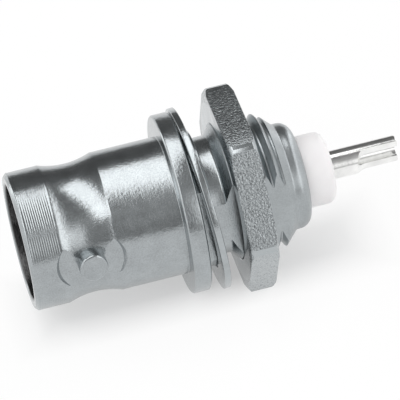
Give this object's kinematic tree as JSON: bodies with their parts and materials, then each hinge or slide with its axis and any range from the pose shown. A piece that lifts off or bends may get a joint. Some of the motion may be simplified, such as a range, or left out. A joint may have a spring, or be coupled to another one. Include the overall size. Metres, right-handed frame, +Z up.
{
  "type": "bnc connector",
  "caption": "Panel-mount BNC jack with bayonet nose, flange, keyed thread, loose washer and hex nut, white insulator and half-open solder cup.",
  "frame": {"origin": "on the connector's axis, in the plane of the flange's rear face, where the panel seats", "axes": "+X along the axis from the mating nose to the solder cup; +Z up, with a flat of the nut facing down; the nut's thread and both studs lie about the X axis"},
  "size_m": [0.0268, 0.0144, 0.0128],
  "materials": {
    "body_nickel": "satin",
    "dielectric": "satin",
    "contact_silver": "polished",
    "washer_nickel": "polished",
    "nut_nickel": "satin"
  },
  "bodies": {
    "jack": {"jack_body": "body_nickel", "insulator": "dielectric", "centre_contact": "contact_silver"},
    "washer": {"panel_washer": "washer_nickel"},
    "nut": {"hex_nut": "nut_nickel"}
  },
  "joints": [
    {"name": "nut_turn", "type": "hinge", "parent": "jack", "child": "washer", "pos_m": [0, 0, 0], "axis": [1, 0, 0], "range_deg": [-525, 1040]},
    {"name": "nut_travel", "type": "slide", "parent": "washer", "child": "nut", "axis": [1, 0, 0], "range_m": [-0.00116, 0.00229]}
  ],
  "couplings": [
    {"joint": "nut_turn", "follows": "nut_travel", "rad_per_m": 7915.8}
  ]
}
